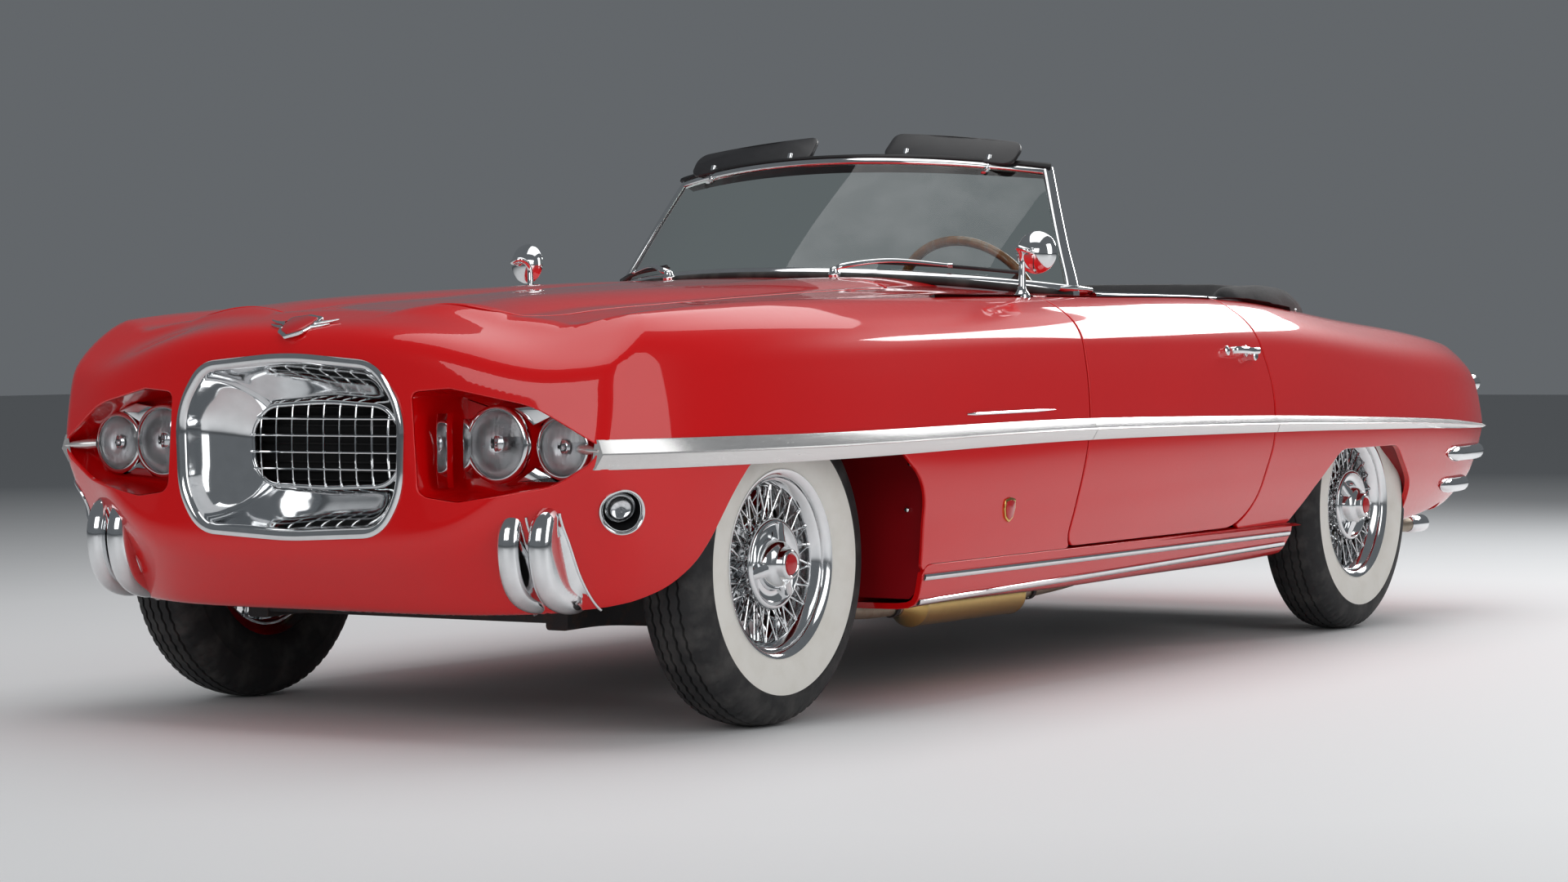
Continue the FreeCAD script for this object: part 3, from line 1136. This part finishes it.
outside = Part.makeLoft([front_wire(grille_outline(0), GRILLE_RADII, along(LIP_BACK)),
                         front_wire(grown_grid(GRID_WALL), GRID_RADII, along(FUNNEL_BACK))], True, True)
outside = outside.fuse(front_prism(grille_outline(0), GRILLE_RADII, along(LIP_FRONT), along(LIP_BACK)))
inside = Part.makeLoft([front_wire(grille_outline(-LIP_WIDTH), GRILLE_RADII, along(LIP_FRONT - 1)),
                        front_wire(GRID, GRID_RADII, along(FUNNEL_BACK + 1))], True, True)
grille_surround = shaped("grille_surround", outside.cut(inside))

wires = [box(f"grille_post_{i}", ("4", "4", up_f(720) + " - " + up_f(500)),
             (out_f(-160 + 40 * i), along_f(GRID_Y), up_f(500)))
         for i in range(9)]
wires += [box(f"grille_bar_{i}", (out_f(400), "4", "4"), (f"-{out_f(200)}", along_f(GRID_Y),
                                                          up_f(550 + 40 * i))) for i in range(4)]
grid_net = fuse("grid_net", wires)
grid_limit = shaped("grid_limit", front_prism(grown_grid(-play), GRID_RADII, along(-620), along(-500)))
grille_mesh = doc.addObject("Part::Common", "grille_mesh")
grille_mesh.Base = grid_net
grille_mesh.Tool = grid_limit

# lamps
def lamp(name, x, z, y, radius, depth):
    """Round lamp facing forwards: bowl, bezel and domed lens in one turned piece."""
    body = doc.addObject("PartDesign::Body", name)
    drawing = sketch(body, name + "_profile", "XY_Plane", [
        (f"-{depth}", "1", 0), (f"-{depth}", f"{radius} * 0.5", 8), ("-6", f"{radius}", 0),
                                                           ("0", f"{radius}", 0),
        ("5", f"{radius} - 6", 0), ("0", f"{radius} - 8", 0), ("14", "1", 0)])
    turn = body.newObject("PartDesign::Revolution", name + "_turn")
    turn.Profile = drawing
    turn.ReferenceAxis = (drawing, ["H_Axis"])
    turn.Angle = 360
    doc.recompute()
    piece = body.Shape.copy()
    piece.Placement = Placement(Vector(out(x), along(y), up(z)), Rotation(Vector(0, 0, 1), -90))
    return piece


def lamp_depth(station, bed):
    """Depth of a lamp that stands on its bed."""
    return round(along(bed) - along(station) - size("seat_clearance"), 3)


lamps = [lamp("lamp_inner", 458, 625, -578, 78, lamp_depth(-578, COVE_BED)),
         lamp("lamp_outer", 617, 619, -560, 64, lamp_depth(-560, COVE_BED))]
headlamps = shaped("headlamps", Part.makeCompound([s for piece in lamps for s in both_sides(piece)]))
fog = lamp("lamp_fog", FOG_X, FOG_Z, -490, 34, lamp_depth(-490, FOG_BED))
fog_lamps = shaped("fog_lamps", Part.makeCompound(both_sides(fog)))

# mirrors, wipers, visors
def mirror_piece():
    """Round mirror head on a stalk that stands on the front wing."""
    foot = Part.makeCylinder(14, 14, spot((742, 1155, 918)))
    stalk = Part.makeCylinder(6, up(1030) - up(925), spot((744, 1155, 925)))
    head = Part.makeSphere(52, Vector()).common(Part.makeBox(200, 34, 200, Vector(-100, -12, -100)))
    head.translate(spot((770, 1172, 1045)))
    return foot.fuse([stalk, head]).cut(outer)


header_hole = tube(top_bow, tube_radius + size("seat_clearance"))
mirrors = shaped("mirrors",
                 Part.makeCompound([s for piece in both_sides(mirror_piece()) for s in piece.Solids]))
visor_plate = box("visor_plate", (out_f(400), "4", "62"), (out_f(120), along_f(1550), up_f(1302)))
visor_clips = [box(f"visor_clip_{x}", ("14", "30", "50"),
                   (out_f(x), along_f(1530), up_f(1262))) for x in (180, 430)]
visor_left = doc.addObject("Part::Feature", "visor_left")
doc.recompute()
visor_left.Shape = visor_plate.Shape.fuse([clip.Shape for clip in visor_clips]).cut([header_hole,
                                                                                     glass_block])
sun_visors = group("sun_visors", [visor_left, mirrored("visor_right", visor_left)])
top_boot = box("folded_top_block", (out_f(1240), f"{along_f(3240)} - {along_f(2760)}", "70"),
               (f"-{out_f(620)}", along_f(2760), up_f(905)))
folded_block = doc.addObject("Part::Fillet", "folded_block")
folded_block.Base = top_boot
doc.recompute()
folded_block.Edges = [(number + 1, 30.0, 30.0) for number in range(len(top_boot.Shape.Edges))]
doc.recompute()
deck_clear = body_form(-size("seat_clearance"))
folded_top = shaped("folded_top", folded_block.Shape.cut(deck_clear))
tail_lamp = shaped("tail_lamp_left", Part.makeCylinder(26, 40, spot((740, 3962, 690)),
                                                       Vector(0, 1, 0)).cut(outer))
tail_lamps = group("tail_lamps", [tail_lamp, mirrored("tail_lamp_right", tail_lamp)])


GUARD_SIDE = ((-575, 462), (-655, 450), (-662, 352), (-592, 298), (-400, 278))
GUARD_WEB = ((-560, 474), (-652, 462), (-668, 420), (-668, 340), (-596, 286), (-420, 262), (-400, 320),
             (-520, 440))
GUARD_RADIUS = 28


def guard(x):
    """Upright bumper guard: a round-fronted bar, bent like a J, on a web that reaches the body."""
    bar = bent_rod([spot((x, station, height)) for station, height in GUARD_SIDE], 60, GUARD_RADIUS)
    web = side_prism(GUARD_WEB, (10, 20, 30, 50, 40, 10, 10, 10), out(x) - GUARD_RADIUS + 8,
                     out(x) + GUARD_RADIUS - 8)
    return bar.fuse(web).cut(outer)


front_bars = [guard(x) for x in (503, 592)]

REAR_GUARDS = (
    # height, x at the front end, x and station of the corner, station of the inner end
    (482, 821, 764, 3975, 4008),
    (388, 808, 752, 3885, 3922),
)
REAR_GUARD_RADIUS, REAR_GUARD_FRONT, REAR_GUARD_END = 24, 3640, 560


def rear_guard(height, front_x, corner_x, corner_station, end_station):
    """Half-round bar that wraps a rear corner, pointed in front."""
    points = [spot((front_x, REAR_GUARD_FRONT, height)), spot((corner_x, corner_station, height)),
              spot((REAR_GUARD_END, end_station, height))]
    tip = Part.makeCone(REAR_GUARD_RADIUS, 3, 70, points[0], points[0] - points[1])
    return bent_rod(points, 90, REAR_GUARD_RADIUS).fuse(tip).cut(outer)


rear_bars = [rear_guard(*row) for row in REAR_GUARDS]
guard_pieces = [piece for bar in front_bars + rear_bars for piece in both_sides(bar)]
guard_solids = [solid for piece in guard_pieces for solid in piece.Solids]
bumper_guards = shaped("bumper_guards", Part.makeCompound(guard_solids))

NODES = [nose_panel, cowl_panel, fender_left, fender_right, tail_panel, quarter_left, quarter_right, sills,
         hood, trunk_lid, door_side["left"], door_side["right"],
         door_strips["left"], door_strips["right"], floor_pan, firewall, dashboard, front_seats, rear_seat,
         chassis_frame, engine, gearbox_and_shaft, exhaust_system, radiator, fuel_tank, front_suspension,
         rear_axle, knuckle_left, knuckle_right, steering_wheel, steering_column, windshield_frame,
         windshield_glass, side_strips, grille_surround, grille_mesh, headlamps, fog_lamps, mirrors,
         sun_visors, folded_top, tail_lamps, bumper_guards, body_mouldings, wipers, trunk_floor]
NODES += [wheel_nodes[place] for place in WHEEL_PLACES] + [tyre_nodes[place] for place in WHEEL_PLACES]

doc.recompute()
for item in doc.Objects:
    if "Invalid" in item.State or "Error" in item.State:
        raise RuntimeError(f"{item.Name} failed: {item.State}")
for node in NODES:
    if node.Shape.isNull() or not node.Shape.isValid():
        raise RuntimeError(f"{node.Name} has no valid shape")
    node.Label = node.Name
    solids = node.Shape.Solids
    shape = solids[0] if len(solids) == 1 else Part.makeCompound(solids)
    shape.exportStep(f"parts/{node.Label}.step")
